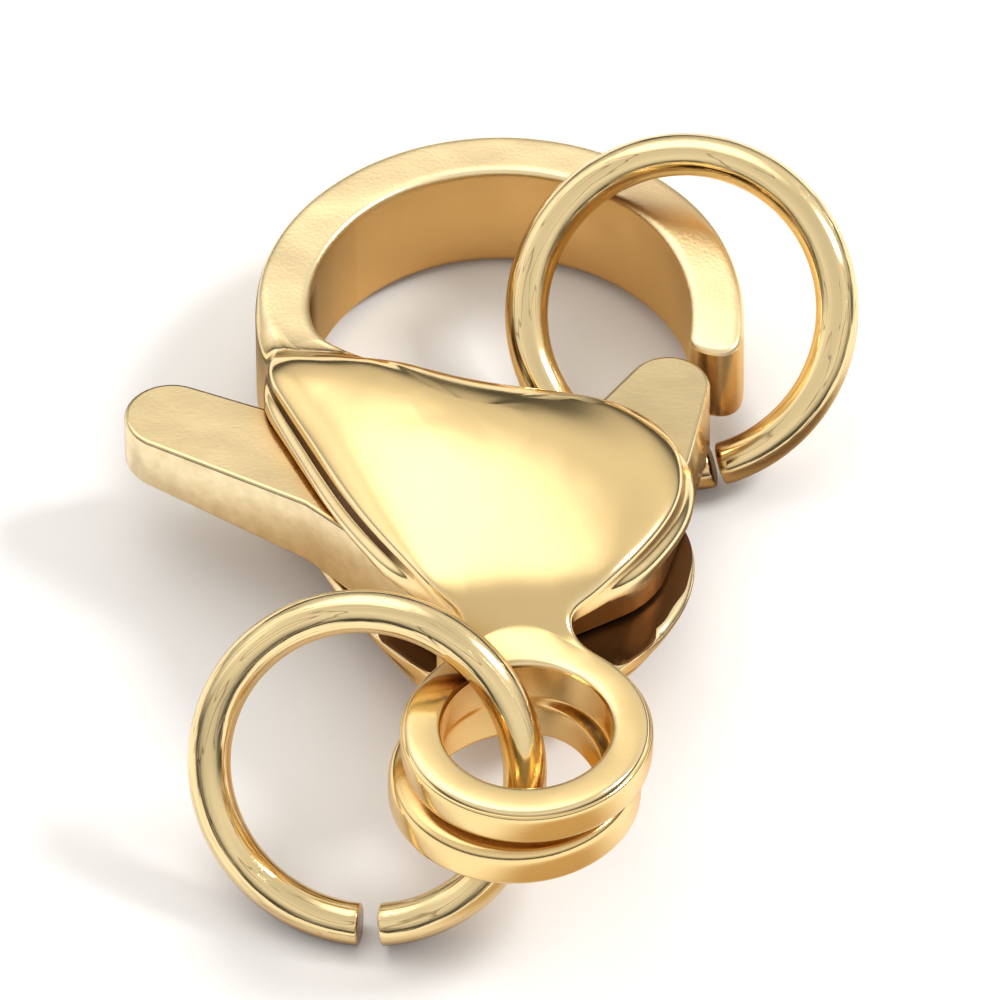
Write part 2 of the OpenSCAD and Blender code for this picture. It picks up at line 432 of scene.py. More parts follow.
for k, v in enumerate(neck_corners[1:-1], 1):
    inwards = EYE_TUCK * abs(2 * k / CHAIN_STEPS - 1) ** 3
    v.co.xy = v.co.xy * (1 - inwards)
across = {v: k for k, v in enumerate(row)}
_, twin = pull(cage, chain_edges(row), lambda v: neck_rim[across[v]].co.copy())
last_row = [twin[v] for v in row]
bmesh.ops.weld_verts(cage, targetmap=dict(zip(last_row, neck_rim)))
print("with the eye and the neck it has", len(cage.faces), "faces")

# %% [markdown]
# ## The hook
#
# The four edges at the cheek's upper corner are pulled round the hook's middle, step by step.
# The strip is broader at its root, where a fillet runs into the mouth, and has a small notch outside.
# It also gets thinner towards the tip, so its height falls along the arc, and its end bulges a little.

# %% The hook's band
BAND_STEPS = 26
TIP_ROUND = 3.2
TAPER_FROM = HOOK_REACH + 0.45 * HOOK_OUTER_R
TIP_Y = HOOK_REACH - HOOK_OUTER_R * math.sin(math.radians(TIP_DROP))
ROOT_ANGLE = math.degrees(math.atan2(-(root_path[1].y - HOOK_REACH), -root_path[1].x)) + 180
ROOT_INNER = [  # angle round the hook's middle, inner radius
    (192, 2.54),
    (187, 2.60),
    (181, 2.64),
    (175, HOOK_INNER_R),
]
ROOT_OUTER = [  # angle round the hook's middle, outer radius
    (194, 3.18),
    (190, 3.17),
    (185, 3.25),
    (180, 3.33),
    (174, 3.385),
    (168, HOOK_OUTER_R),
]


def along_table(table, angle):
    """Reads a table of angle and value, from the highest angle to the lowest."""
    for (a, u), (b, v) in zip(table, table[1:]):
        if angle > b:
            return mix(u, v, min(1.0, max(0.0, (angle - a) / (b - a))))
    return table[-1][1]


def band_height(p):
    if p.x < 0:
        return BAND_H / 2
    return mix(BAND_H, TIP_H, min(1.0, max(0.0, (TAPER_FROM - p.y) / (TAPER_FROM - TIP_Y)))) / 2


def band_point(angle, share):
    p = round_at(HOOK_AT, mix(along_table(ROOT_INNER, angle), along_table(ROOT_OUTER, angle), share), angle)
    return Vector((p.x, p.y, band_height(p)))


band_inner = [root_rim[0]]
band_outer = [root_rim[-1]]
row = list(root_rim)
edges = chain_edges(row)
for step in range(1, BAND_STEPS + 1):
    angle = mix(ROOT_ANGLE, -TIP_DROP, step / BAND_STEPS)
    share_across = {v: k / ROOT_STEPS for k, v in enumerate(row)}
    back = TIP_ROUND if step == BAND_STEPS else 0

    def band_place(v):
        share = share_across[v]
        return band_point(angle + back * (2 * share - 1) ** 4, share)

    edges, twin = pull(cage, edges, band_place)
    row = [twin[v] for v in row]
    band_inner.append(row[0])
    band_outer.append(row[-1])
tip_corners = row
print("the band leaves the cheek at", round(ROOT_ANGLE, 1), "degrees")

# %% [markdown]
# ## Walls, slot and the lower half
#
# The rim of the map is now one long loop, and the bore is another. Both are pulled down in rows.
# Round the eye, the neck and the band the rows go all the way to the middle plane.
# Under the cheek they stop at the slot, in which the lever turns. There a thin flange stands out at the
# slot's mouth, with a groove between it and the rim, which sags in the middle of each side and is darkened
# with painted shade.
# The eye's rows swell into a bead and dive into a groove: two beads run round the real eye.
# The inner wall at the hook's root is darkened with painted shade too, where a pocket opens on the real casting.

# %% Walls
RIM_ROUND = 0.085
SLOT_TOP = SLOT_H / 2
SIDE_LEVEL = 0.50
UPPER_ROWS = [  # share of the way down to the slot, share of the flange, how far the eye's bead stands out
    (0.38, 0.0, 0.0),
    (0.50, 1.0, 0.035),
    (1.00, 1.0, 0.04),
]
LOWER_ROWS = [  # level, how far the eye's bead stands out
    (0.26, 0.035),
    (0.09, 0.01),
    (0.05, -0.14),
    (0.00, -0.19),
]
BEAD_BLEND = 0.5
FOOT_ROOM = 2.2 * RIM_ROUND
FLANGE = 0.15
FLANGE_STARTS = (1, 4)  # corners from the near end of a side's rim
FLANGE_STOPS = (2, 5)  # corners from its far end
# Painted shade: how dark the groove under the rim is painted, on the left and on the right.
GROOVE_SHADE = 1.0
GROOVE_SHADE_RIGHT = 0.5
GROOVE_SAG = 0.22
# Painted shade on the hook's inner wall near its root, one value for each corner.
POCKET_SHADES = [0.5, 0.6, 0.6, 0.5, 0.38, 0.2, 0.06]  # one for each corner along the band's inner side
SLOT_RIGHT_AT = 2  # rows down the neck's right side
SLOT_LEFT_AT = 3  # corners up from the left rim's end
SLOT_ROOT_IN = 3  # corners along the band's inner side
SLOT_ROOT_OUT = 1  # corners down the left rim
ROUND_OUTSIDE = 5
ROUND_INSIDE = 2

full_height = set(eye_corners) - set(neck_corners[1:-1])
full_height |= set(neck_sides[0]) | set(neck_sides[1]) | set(bore)
full_height |= set(left_rim[-SLOT_LEFT_AT:])
full_height |= set(band_inner[SLOT_ROOT_IN:]) | set(band_outer) | set(tip_corners)
full_height |= set(left_rim[: SLOT_ROOT_OUT + 1])
slot_ends = [
    neck_sides[1][SLOT_RIGHT_AT],
    left_rim[-SLOT_LEFT_AT],
    band_inner[SLOT_ROOT_IN],
    left_rim[SLOT_ROOT_OUT],
]
root_outside = set(left_rim[: SLOT_ROOT_OUT + 1]) | set(band_outer[:ROUND_OUTSIDE])
root_inside = set(band_inner[SLOT_ROOT_IN : SLOT_ROOT_IN + ROUND_INSIDE])
eye_wall = set(eye_corners) - set(neck_corners)

pocket = dict(zip(band_inner[1:], POCKET_SHADES))
flange_out = {}
sag = {}
for side_rim, first in ((right_rim, 0), (left_rim, RIGHT_STEPS + ROOT_STEPS)):
    last = len(side_rim) - 1
    for k, v in enumerate(side_rim):
        along = outline[(first + k + 1) % len(outline)] - outline[first + k - 1]
        share = ease(*FLANGE_STARTS, k) * ease(*FLANGE_STOPS, last - k)
        flange_out[v] = Vector((along.y, -along.x)).normalized() * FLANGE * share
        sag[v] = GROOVE_SAG * math.sin(math.pi * k / last) ** 2

rim_edges = [e for e in cage.edges if e.is_boundary]
source_of = {v: v for e in rim_edges for v in e.verts}


def wall_place(v, level, bead, flange=0.0):
    """Where a rim corner's wall goes at one level below the top."""
    p = v.co.xy
    if v in flange_out:
        p = p + flange_out[v] * flange
    if v in root_outside:
        p = HOOK_AT + (p - HOOK_AT).normalized() * HOOK_OUTER_R
    if v in root_inside:
        p = HOOK_AT + (p - HOOK_AT).normalized() * HOOK_INNER_R
    if v in eye_wall:
        past_neck = abs(math.atan2(-p.x, p.y)) - neck_turn
        p = p * (1 + bead * ease(0, BEAD_BLEND, past_neck) / EYE_OUTER_R)
    return Vector((p.x, p.y, level))


def wall_level(v, share):
    """A level between the rim and the slot's ceiling, or the same share of a full height wall."""
    if v not in full_height or v in slot_ends:
        foot = min(SLOT_TOP, v.co.z - FOOT_ROOM)
    else:
        foot = SIDE_LEVEL * min(1.0, v.co.z / (EYE_H / 2))
    return mix(v.co.z, foot, share + 4 * share * (1 - share) * sag.get(v, 0.0))


edges = rim_edges
for share, flange, bead in UPPER_ROWS:
    def row_place(v):
        rim_corner = source_of[v]
        return wall_place(rim_corner, wall_level(rim_corner, share), bead, flange)

    edges, twin = pull(cage, edges, row_place)
    source_of = {new: source_of[old] for old, new in twin.items()}
    for v, rim_corner in source_of.items():
        stands_out = flange_out.get(rim_corner, Vector((0, 0))).length / FLANGE
        # The flange's ridge is marked as a worn edge, which is also a painted highlight.
        v[wear_and_highlight] = flange * stands_out
        # Painted shade on the pocket's wall, and on the wall of the groove under the rim.
        v[painted_shade] = pocket.get(rim_corner, 0.0)
        if rim_corner in pocket:
            rim_corner[painted_shade] = pocket[rim_corner]
        elif flange == 0:
            v[painted_shade] = stands_out * (GROOVE_SHADE if rim_corner.co.x < PEAK.x else GROOVE_SHADE_RIGHT)
            rim_corner[painted_shade] = v[painted_shade]
foot_of = {rim_corner: v for v, rim_corner in source_of.items()}
going_down = [e for e in edges if all(source_of[v] in full_height for v in e.verts)]
under_edges = [e for e in edges if e not in set(going_down)]
print("wall edges to the slot:", len(under_edges), "and to the middle plane:", len(going_down))

# %% [markdown]
# The slot's two end walls join the walls that go down. Each is a chain of corners from side to side.
# The first runs round the pivot at the neck, the other round the hook's root. The ceiling lies between.

# %% Ends of the slot
SLOT_R = 2.7
SLOT_ARC = [-95, -106, -117, -127]  # angles round the pivot
ROOT_RECESS = [  # corners from the mouth's side to the outside
    Vector((-2.80, 8.22)),
    Vector((-2.86, 7.78)),
    Vector((-2.82, 7.32)),
    Vector((-2.96, 7.05)),
]


def slot_chain(start, stop, between):
    """A chain of edges at the slot's ceiling, from one wall corner to another."""
    corners = [start]
    for p in between:
        corners.append(cage.verts.new((p.x, p.y, SLOT_TOP)))
    corners.append(stop)
    return [cage.edges.new(pair) for pair in zip(corners, corners[1:])]


arc = [round_at(PIVOT, SLOT_R, angle) for angle in SLOT_ARC]
ends = [foot_of[v] for v in slot_ends]
neck_chain = slot_chain(ends[0], ends[1], arc)
root_chain = slot_chain(ends[2], ends[3], ROOT_RECESS)
under_loop = under_edges + neck_chain + root_chain
ceiling = bmesh.ops.triangle_fill(
    cage, edges=under_loop, normal=(0, 0, -1), use_beauty=True, use_dissolve=False
)
ceiling_faces = [g for g in ceiling["geom"] if isinstance(g, bmesh.types.BMFace)]
bmesh.ops.join_triangles(
    cage, faces=ceiling_faces, angle_face_threshold=math.pi, angle_shape_threshold=math.pi
)
# The slot's ceiling is fully darkened with painted shade.
for v in {v for e in under_loop for v in e.verts}:
    v[painted_shade] = 1.0
edges = going_down + neck_chain + root_chain
for level, bead in LOWER_ROWS:
    def next_place(v):
        rim_corner = source_of.get(v)
        if rim_corner is None:
            return Vector((v.co.x, v.co.y, level))
        return wall_place(rim_corner, level * min(1.0, rim_corner.co.z / (EYE_H / 2)), bead)

    edges, twin = pull(cage, edges, next_place)
    # Painted shade on the slot's end walls, and on the pocket's wall further down.
    for above, v in twin.items():
        in_chain = above not in source_of or source_of[above] in slot_ends
        v[painted_shade] = 1.0 if in_chain else pocket.get(source_of[above], 0.0)
    source_of = {new: source_of[old] for old, new in twin.items() if old in source_of}
print("the half cage has", len(cage.faces), "faces")

# %% [markdown]
# The rim gets a narrow rounding before the half is mirrored, because it catches the bright line that
# runs along every polished edge. The edges at the slot stay crisp with a crease instead.
# On the real casting the eye's lower bead lies a little off to one side, so it is shifted here too.

# %% Round the rim, mirror and crease
CREASES = {"slot": 0.4, "end": 1.0}
SKIN_FROM_R = 0.9 * HOOK_INNER_R
SKIN_FROM_Y = 5.6
BEAD_REACH = 2.1
BEAD_SHIFT = Vector((-0.17, -0.03, 0))
BEAD_SHIFT_LEVELS = (0.05, -0.10)
BEAD_SHIFT_FADE = (1.7, 0.5)
SAME_PLACE = 0.001

bmesh.ops.recalc_face_normals(cage, faces=cage.faces)
rounded = bmesh.ops.bevel(
    cage, geom=rim_edges, offset=RIM_ROUND, offset_type="OFFSET", segments=2, profile=0.5,
    affect="EDGES", clamp_overlap=False, material=-1, loop_slide=True,
)
strip = set(rounded["faces"])
# The rounded rim is marked as a worn edge, which is also a painted highlight along it.
for v in rounded["verts"]:
    v[wear_and_highlight] = 1.0 if strip.issuperset(v.link_faces) else 0.0
# Faces get the painted shade only where all their corners carry it, and never on the rounded rim.
for f in cage.faces:
    f[shaded] = 1.0 if f not in strip and all(v[painted_shade] > 0 for v in f.verts) else 0.0
for e in cage.edges:
    e[crease] = 0.0
for e in under_edges:
    e[crease] = CREASES["slot"]
for e in neck_chain + root_chain:
    e[crease] = CREASES["end"]
# The matt cast skin near the band, which is also painted paler as a painted sheen.
for v in cage.verts:
    near_band = (v.co.xy - HOOK_AT).length > SKIN_FROM_R and v.co.y > SKIN_FROM_Y
    v[cast_skin_and_sheen] = 1.0 if near_band and (v.co.y > CHEEK_TOP or v.co.x > 0) else 0.0
everything = cage.verts[:] + cage.edges[:] + cage.faces[:]
bmesh.ops.mirror(cage, geom=everything, matrix=Matrix.Identity(4), merge_dist=SAME_PLACE, axis="Z")
for v in cage.verts:
    if v.co.xy.length < BEAD_REACH:
        above, under = BEAD_SHIFT_LEVELS
        below = min(1.0, max(0.0, (above - v.co.z) / (above - under)))
        v.co += BEAD_SHIFT * below * ease(*BEAD_SHIFT_FADE, v.co.y)
open_edges = [e for e in cage.edges if not e.is_manifold]
print("the whole cage has", len(cage.faces), "faces and", len(open_edges), "open edges")

# %% The frame as one smooth casting
SMOOTH_LEVELS = 2

casting = finish_mesh(cage, "clasp_frame", "frame_body", "frame")
rounding = casting.modifiers.new("Smooth casting", "SUBSURF")
rounding.levels = SMOOTH_LEVELS
rounding.render_levels = SMOOTH_LEVELS

# %% [markdown]
# ## The lever
#
# The lever was stamped from plate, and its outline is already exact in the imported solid.
# A copy of that mesh is merged, its flat faces are joined again, and the sharp edges get the bevel that
# tumbling gives them. The thumb tab also gets a little thinner and narrower towards its end.

# %% The lever
LEVER_ROUND = 0.06
LEVER_SEGMENTS = 3
FLAT = 0.9
SHARP = math.radians(60)
LEVEL = math.radians(1)
TAB_LINE = (Vector((-3.10, 6.33, 0)), Vector((-0.92, -0.39, 0)))
TAB_LONG = 2.1
TAB_MIDDLE = Vector((-4.63, 6.394, 0))
TAB_ACROSS = Vector((0.497, 0.868, 0))
TAB_NARROW = 0.07
TAB_END_TOP = 0.51
TAB_END_FOOT = -0.30

plate = bmesh.new()
plate.from_mesh(frame["nodes"]["lever"].data)
wear_and_highlight = plate.verts.layers.float.new("wear_and_highlight")
bmesh.ops.remove_doubles(plate, verts=plate.verts, dist=SAME_PLACE * MM)
plate.transform(LAY.inverted())
for side in (1, -1):
    flats = [f for f in plate.faces if f.normal.z * side > FLAT]
    bmesh.ops.dissolve_faces(plate, faces=flats, use_verts=True)
bmesh.ops.dissolve_limit(
    plate, angle_limit=LEVEL, use_dissolve_boundaries=False, verts=plate.verts, edges=plate.edges
)
line_at, outwards = TAB_LINE
everything = plate.verts[:] + plate.edges[:] + plate.faces[:]
bmesh.ops.bisect_plane(plate, geom=everything, dist=NEARLY, plane_co=line_at, plane_no=outwards)
for v in plate.verts:
    out = max(0.0, (v.co - line_at).dot(outwards) / TAB_LONG)
    v.co -= TAB_ACROSS * TAB_NARROW * min(1.0, out) * (v.co - TAB_MIDDLE).dot(TAB_ACROSS)
    v.co.z = mix(v.co.z, TAB_END_TOP if v.co.z > 0 else TAB_END_FOOT, out)
plate.normal_update()
sharp = [e for e in plate.edges if e.is_manifold and e.calc_face_angle() > SHARP]
rounded = bmesh.ops.bevel(
    plate, geom=sharp, offset=LEVER_ROUND, offset_type="OFFSET", segments=LEVER_SEGMENTS, profile=0.5,
    affect="EDGES", clamp_overlap=True, material=-1, loop_slide=True,
)
# The lever's rounded edges off its flats are marked as worn edges, also a painted highlight.
for v in rounded["verts"]:
    v[wear_and_highlight] = 0.0 if any(abs(f.normal.z) > FLAT for f in v.link_faces) else 1.0
lever = finish_mesh(plate, "clasp_lever", "lever_body", "lever")
for polygon in lever.data.polygons:
    polygon.use_smooth = abs(polygon.normal.dot(pin_axis)) < FLAT

# %% [markdown]
# ## The jump rings
#
# A jump ring is a turn of round wire, cut and closed again by hand, so it never closes quite flush.
# A circle of wire is spun round the ring's middle and left open at the cut, and both ends are filled.
# Where a ring lies, and how it leans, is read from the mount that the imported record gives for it.

# %% The jump rings
WIRE_SIDES = 20
RING_STEPS = 96
END_ROUND = 0.03
WIRE_STREAK = 14
RINGS = [  # node, mount, gap at the cut, where the cut is
    ("tail_jump_ring", "tail_loop", 0.3, -80),
    ("hook_jump_ring", "hook_loop", 0.12, -60),
]
mounts = {m["name"]: m for m in frame["record"]["mounts"]}


def lay_ring(mount, turn):
    """The matrix that lays a flat ring, drawn in millimetres, as the mount says."""
    normal = Vector(mount["axis"]).normalized()
    return (
        Matrix.Translation(mount["pos_m"])
        @ Matrix.Rotation(math.atan2(normal.x, -normal.y), 4, "Z")
        @ Matrix.Rotation(math.acos(normal.z), 4, "X")
        @ Matrix.Rotation(turn, 4, "Z")
        @ Matrix.Scale(MM, 4)
    )


def jump_ring(node, mount, gap, cut_at):
    half = math.asin(gap / 2 / RING_R)
    bm = bmesh.new()
    wire_place = bm.verts.layers.float_vector.new("wire_place")
    wire = bmesh.ops.create_circle(bm, segments=WIRE_SIDES, radius=WIRE_R)["verts"]
    to_wire = Matrix.Translation((RING_R, 0, 0)) @ Matrix.Rotation(math.pi / 2, 4, "X")
    bmesh.ops.transform(bm, matrix=to_wire, verts=wire)
    bmesh.ops.spin(
        bm, geom=bm.verts[:] + bm.edges[:], cent=(0, 0, 0), axis=(0, 0, 1), dvec=(0, 0, 0),
        angle=2 * math.pi - 2 * half, steps=RING_STEPS, use_merge=False,
    )
    ends = [e for e in bm.edges if e.is_boundary]
    bmesh.ops.edgeloop_fill(bm, edges=ends)
    bmesh.ops.recalc_face_normals(bm, faces=bm.faces)
    bmesh.ops.bevel(
        bm, geom=ends, offset=END_ROUND, offset_type="OFFSET", segments=2, profile=0.5,
        affect="EDGES", clamp_overlap=True, material=-1,
    )
    for v in bm.verts:
        along = math.atan2(v.co.y, v.co.x) % (2 * math.pi)
        out = v.co.xy.length - RING_R
        v[wire_place] = Vector((out, v.co.z, along * RING_R / WIRE_STREAK)) * MM
    place = lay_ring(mounts[mount], math.radians(cut_at) + half)
    return finish_mesh(bm, "gold_" + node, "frame_body", node, place)


rings = [jump_ring(*row) for row in RINGS]

# %% [markdown]
# ## Gold
#
# Gold plating has no colour of its own apart from its reflection, so the base colour tints a plain metal.
# What makes it look real is what tumbling and handling leave: soft dents that bend the reflections, fine
# marks and edges that are worn bright, which also get a painted highlight. Hollows get painted shade: their
# colour is deepened, where light would bounce there more than once.
# Each effect is a node group, built once, and every finish places it with its own values.

# %% Tools for nodes
def put(tree, kind, inputs=None, **settings):
    """Adds a shader node. Its inputs, by name or by place, are values or other nodes' sockets."""
    made = tree.nodes.new("ShaderNode" + kind)
    for name, value in settings.items():
        setattr(made, name, value)
    for key, value in (inputs or {}).items():
        if isinstance(value, bpy.types.NodeSocket):
            tree.links.new(value, made.inputs[key])
        else:
            made.inputs[key].default_value = value
    return made


def scaled(tree, value, factor, added=0.0):
    """The socket of value times factor plus added."""
    return put(tree, "Math", {0: value, 1: factor, 2: added}, operation="MULTIPLY_ADD").outputs[0]


def blended(tree, below, above, share):
    """The socket of one colour laid over another by a share."""
    return put(tree, "Mix", {0: share, 6: below, 7: above}, data_type="RGBA").outputs[2]


def noise_of(tree, place, size, detail):
    """The socket of a noise whose lumps have a size in millimetres."""
    per_metre = put(tree, "Math", {0: 1 / MM, 1: size}, operation="DIVIDE").outputs[0]
    return put(tree, "TexNoise", {"Vector": place, "Scale": per_metre, "Detail": detail}).outputs["Fac"]


def effect(name, takes, gives):
    """A node group with the named inputs and one output, and the nodes at its two ends."""
    group = bpy.data.node_groups.new(name, "ShaderNodeTree")
    for title, kind in takes:
        group.interface.new_socket(title, in_out="INPUT", socket_type="NodeSocket" + kind)
    group.interface.new_socket(gives, in_out="OUTPUT", socket_type="NodeSocketFloat")
    start = group.nodes.new("NodeGroupInput")
    end = group.nodes.new("NodeGroupOutput")
    return group, start.outputs, end.inputs[0]


def place_effect(tree, group, **inputs):
    made = tree.nodes.new("ShaderNodeGroup")
    made.node_tree = group
    for name, value in inputs.items():
        if isinstance(value, bpy.types.NodeSocket):
            tree.links.new(value, made.inputs[name])
        else:
            made.inputs[name].default_value = value
    return made.outputs[0]

# %% [markdown]
# Soft dents and grain are the same noise at two sizes, in millimetres. Fine marks are the thin contour
# lines of a stretched noise: they run long and never quite straight, as a polishing cloth's marks do.
# Hollows, which get painted shade, are found by how closed in a place is. The mesh names the worn edges,
# which also get a painted highlight, and noise breaks them up.

# %% Dents and marks
DENT_DETAIL = 1.5
dents, start, end = effect("soft dents", [("Place", "Vector"), ("Size", "Float")], "Height")
dents.links.new(noise_of(dents, start["Place"], start["Size"], DENT_DETAIL), end)

MARK_STRETCH = (1.0, 7.0, 1.6)
MARK_TURN = (0.5, 0.9, 0.6)
MARK_WIDTH = 0.012
MARK_DETAIL = 2.0
marks, start, end = effect("fine marks", [("Place", "Vector"), ("Size", "Float")], "Mark")
turned = put(marks, "Mapping", {"Vector": start["Place"], "Rotation": MARK_TURN, "Scale": MARK_STRETCH})
noise = noise_of(marks, turned.outputs[0], start["Size"], MARK_DETAIL)
middle_of = put(marks, "Math", {0: noise, 1: 0.5}, operation="SUBTRACT")
off_middle = put(marks, "Math", {0: middle_of.outputs[0]}, operation="ABSOLUTE")
line = put(marks, "MapRange", {0: off_middle.outputs[0], 1: 0.0, 2: MARK_WIDTH, 3: 1.0, 4: 0.0})
marks.links.new(line.outputs[0], end)

# %% Painted hollow shade, and worn edges with a painted highlight
OPEN_UP_TO = 0.82
CLOSED_AT = 0.38
WEAR_DETAIL = 3.0
# Painted shade: the more closed in a place is, the darker its colour is painted.
hollow, start, end = effect("hollow", [("Reach", "Float")], "Depth")
closed_in = put(hollow, "AmbientOcclusion", {"Distance": scaled(hollow, start["Reach"], MM)}, samples=6)
depth = put(hollow, "MapRange", {0: closed_in.outputs["AO"], 1: OPEN_UP_TO, 2: CLOSED_AT, 3: 0.0, 4: 1.0})
hollow.links.new(depth.outputs[0], end)

# Worn edges, broken up by noise, which also serve as a painted highlight.
edge_wear_and_highlight, start, end = effect("worn edge", [("Place", "Vector"), ("Size", "Float")], "Wear")
edge = put(edge_wear_and_highlight, "Attribute", attribute_name="wear_and_highlight").outputs["Fac"]
edge_wear_and_highlight.links.new(scaled(edge_wear_and_highlight, edge, noise_of(edge_wear_and_highlight, start["Place"], start["Size"], WEAR_DETAIL)), end)

# %% [markdown]
# Four finishes share these effects. The casting has broad soft dents, and a matt skin on the hook's
# band, where polishing hardly reaches, which is also painted paler as a painted sheen. Painted shade
# darkens the slot, the groove at its mouth and the pocket at the hook's root. The lever is tumbled plate.
# The rings are drawn wire, with streaks that run along it and are coloured dark as a painted reflection,
# so their pattern reads a place measured across and along the wire. The pin is plain turned rod.

# %% The gold finishes
GOLD = (0.88, 0.65, 0.305, 1.0)
PLATE_GOLD = (0.64, 0.50, 0.27, 1.0)
WIRE_GOLD = (0.88, 0.69, 0.37, 1.0)
# Pale gold for worn edges and their painted highlight, and for the cast skin's painted sheen.
PALE_WEAR_AND_SHEEN_GOLD = (0.96, 0.82, 0.54, 1.0)
# Painted shade in hollows: amber, then near black gold, which also colours the wire's painted dark streaks.
HOLLOW_SHADE_GOLD = (0.66, 0.36, 0.11, 1.0)
PAINTED_DARK_GOLD = (0.16, 0.06, 0.018, 1.0)
# Near black gold of the painted shade in the slot, the groove and the pocket.
PAINTED_SHADE_GOLD = (0.10, 0.042, 0.014, 1.0)
FINISHES = {  # size and depth in mm of dents, of grain and of marks, then roughness and its spread
    "polished cast gold": ((1.50, 0.030), (0.05, 0.0004), (0.9, 0.0), (0.11, 0.08)),
    "tumbled plate gold": ((1.10, 0.020), (0.06, 0.0009), (0.7, 0.0003), (0.14, 0.10)),
    "drawn wire gold": ((0.12, 0.008), (0.03, 0.0008), (0.3, 0.0008), (0.07, 0.10)),
    "turned rod gold": ((0.60, 0.008), (0.04, 0.0009), (0.3, 0.0009), (0.18, 0.12)),
}
HOLLOW_SHADE_AT = 0.55
DENT_SPAN = (0.3, 0.7)
WEAR_SIZE = 0.2
HOLLOW_SHADE_REACH = 0.9
MARK_ROUGH = 0.012
SKIN_DEPTH = 0.0025
SKIN_DENT = 0.05
SKIN_ROUGH = 0.16
SKIN_PAINTED_SHEEN = 0.4
SLOT_ROUGH = 0.3
STREAK_PAINTED_DARK = 0.6


def gold_finish(name, tint=GOLD, attribute=None, skin=None, painted_shade_name=None):
    """One gold finish. It reads the object's own coordinates, or a place that the mesh carries."""
    (dent_size, dent_depth), (grain_size, grain_depth), (mark_size, mark_depth), rough_span = FINISHES[name]
    material = bpy.data.materials.new(name)
    material.use_nodes = True
    tree = material.node_tree
    shader = tree.nodes["Principled BSDF"]
    shader.inputs["Metallic"].default_value = 1.0
    if attribute:
        place = put(tree, "Attribute", attribute_name=attribute).outputs["Vector"]
    else:
        place = put(tree, "TexCoord").outputs["Object"]
    dent = place_effect(tree, dents, Place=place, Size=dent_size)
    grain = place_effect(tree, dents, Place=place, Size=grain_size)
    mark = place_effect(tree, marks, Place=place, Size=mark_size)
    # Painted shade in hollows.
    hollow_shade_share = place_effect(tree, hollow, Reach=HOLLOW_SHADE_REACH)
    worn = place_effect(tree, edge_wear_and_highlight, Place=place, Size=WEAR_SIZE)

    # The colour is painted darker, from the tint through amber to near black, as a place closes in.
    hollow_shade_ramp = put(tree, "ValToRGB", {0: hollow_shade_share})
    stops = hollow_shade_ramp.color_ramp.elements
    stops[0].color = tint
    stops[1].color = PAINTED_DARK_GOLD
    stops.new(HOLLOW_SHADE_AT).color = HOLLOW_SHADE_GOLD
    # Worn edges get pale gold, partly a painted highlight.
    colour = blended(tree, hollow_shade_ramp.outputs[0], PALE_WEAR_AND_SHEEN_GOLD, worn)
    # The matt cast skin is painted paler too, a painted sheen.
    if skin:
        matt = put(tree, "Attribute", attribute_name=skin).outputs["Fac"]
        colour = blended(tree, colour, PALE_WEAR_AND_SHEEN_GOLD, scaled(tree, matt, SKIN_PAINTED_SHEEN))
    # Painted reflection: the wire's fine marks are coloured dark, as dark streaks along it.
    if attribute:
        colour = blended(tree, colour, PAINTED_DARK_GOLD, scaled(tree, mark, STREAK_PAINTED_DARK))
    # Painted shade: the slot, the groove and the pocket are darkened towards near black gold.
    if painted_shade_name:
        depth = put(tree, "Attribute", attribute_name=painted_shade_name).outputs["Fac"]
        inside = scaled(tree, depth, put(tree, "Attribute", attribute_name="shaded").outputs["Fac"])
        colour = blended(tree, colour, PAINTED_SHADE_GOLD, inside)
    tree.links.new(colour, shader.inputs["Base Color"])

    low, spread = rough_span
    shallow, steep = DENT_SPAN
    rough = put(tree, "MapRange", {0: dent, 1: shallow, 2: steep, 3: low, 4: low + spread}).outputs[0]
    rough = scaled(tree, mark, MARK_ROUGH, rough)
    relief = scaled(tree, dent, dent_depth)
    relief = scaled(tree, grain, grain_depth, relief)
    relief = scaled(tree, mark, -mark_depth, relief)
    if skin:
        relief = scaled(tree, scaled(tree, matt, grain), SKIN_DEPTH, relief)
        relief = scaled(tree, scaled(tree, matt, dent), SKIN_DENT, relief)
        rough = scaled(tree, matt, SKIN_ROUGH, rough)
    if painted_shade_name:
        rough = scaled(tree, inside, SLOT_ROUGH, rough)
    tree.links.new(rough, shader.inputs["Roughness"])
    bump = put(tree, "Bump", {"Height": relief, "Distance": MM, "Strength": 1.0})
    tree.links.new(bump.outputs[0], shader.inputs["Normal"])
    return material


casting.data.materials.append(gold_finish("polished cast gold", skin="cast_skin_and_sheen", painted_shade_name="painted_shade"))
lever.data.materials.append(gold_finish("tumbled plate gold", PLATE_GOLD))
wire_gold = gold_finish("drawn wire gold", WIRE_GOLD, attribute="wire_place")
for piece in rings:
    piece.data.materials.append(wire_gold)
pin = frame["nodes"]["pivot_pin"]
pin.data.materials.clear()
pin.data.materials.append(gold_finish("turned rod gold"))
print("finishes:", sorted(FINISHES))

# %% [markdown]
# ## Floor, light and camera
#
# The clasp lies on pale paper. Polished metal shows nothing but its surroundings, so they are the light:
# a pale room that gets dimmer towards the horizon, which draws the dark lines along every rounded edge,
# and two broad soft glows. The one behind the clasp makes the cream highlight on the dome.
# A photographer also lays tinted cards beside shiny metal, so that its sides don't go pale. Here the
# paper itself is painted darker and warmer near the clasp, as a painted reflection that shows only in
# mirrored rays, so the eye still sees an even floor.
# A real lamp at the right throws the shadows.

# %% Floor
PAPER_LOW = (0.93, 0.92, 0.905, 1)
PAPER_HIGH = (0.96, 0.95, 0.94, 1)
FIBRE_SCALE = 900.0
FIBRE_DETAIL = 4.0
PAPER_ROUGH = 0.6
PAPER_SHINE = 0.2
FLOOR_HALF = 0.5
